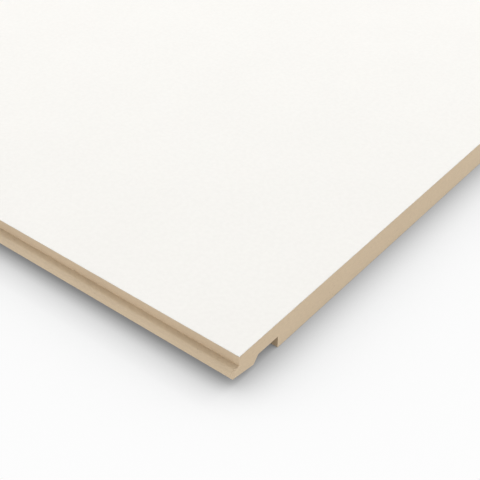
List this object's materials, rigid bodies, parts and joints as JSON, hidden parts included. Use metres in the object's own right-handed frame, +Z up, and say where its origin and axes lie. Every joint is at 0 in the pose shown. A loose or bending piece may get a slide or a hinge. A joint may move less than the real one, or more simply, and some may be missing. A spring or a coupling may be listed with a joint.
{
  "type": "tongue and groove board",
  "caption": "Flat white-faced fibreboard wall panel with a tongue and locking recess on one long edge and a matching groove with a hooked lower lip on the other.",
  "frame": {"origin": "on the back, at the middle of the board's length and of its finished face's width", "axes": "+X along the board, +Y across it from the tongue edge to the groove edge, +Z up out of the finished face"},
  "size_m": [2.785, 0.6382, 0.01],
  "materials": {
    "fibreboard": "raw medium-density fibreboard, finely milled edges and sanded back",
    "white_facing": "satin white film with a fine stipple, bonded to the upper face"
  },
  "bodies": {
    "root": {"board": "fibreboard"}
  },
  "joints": []
}
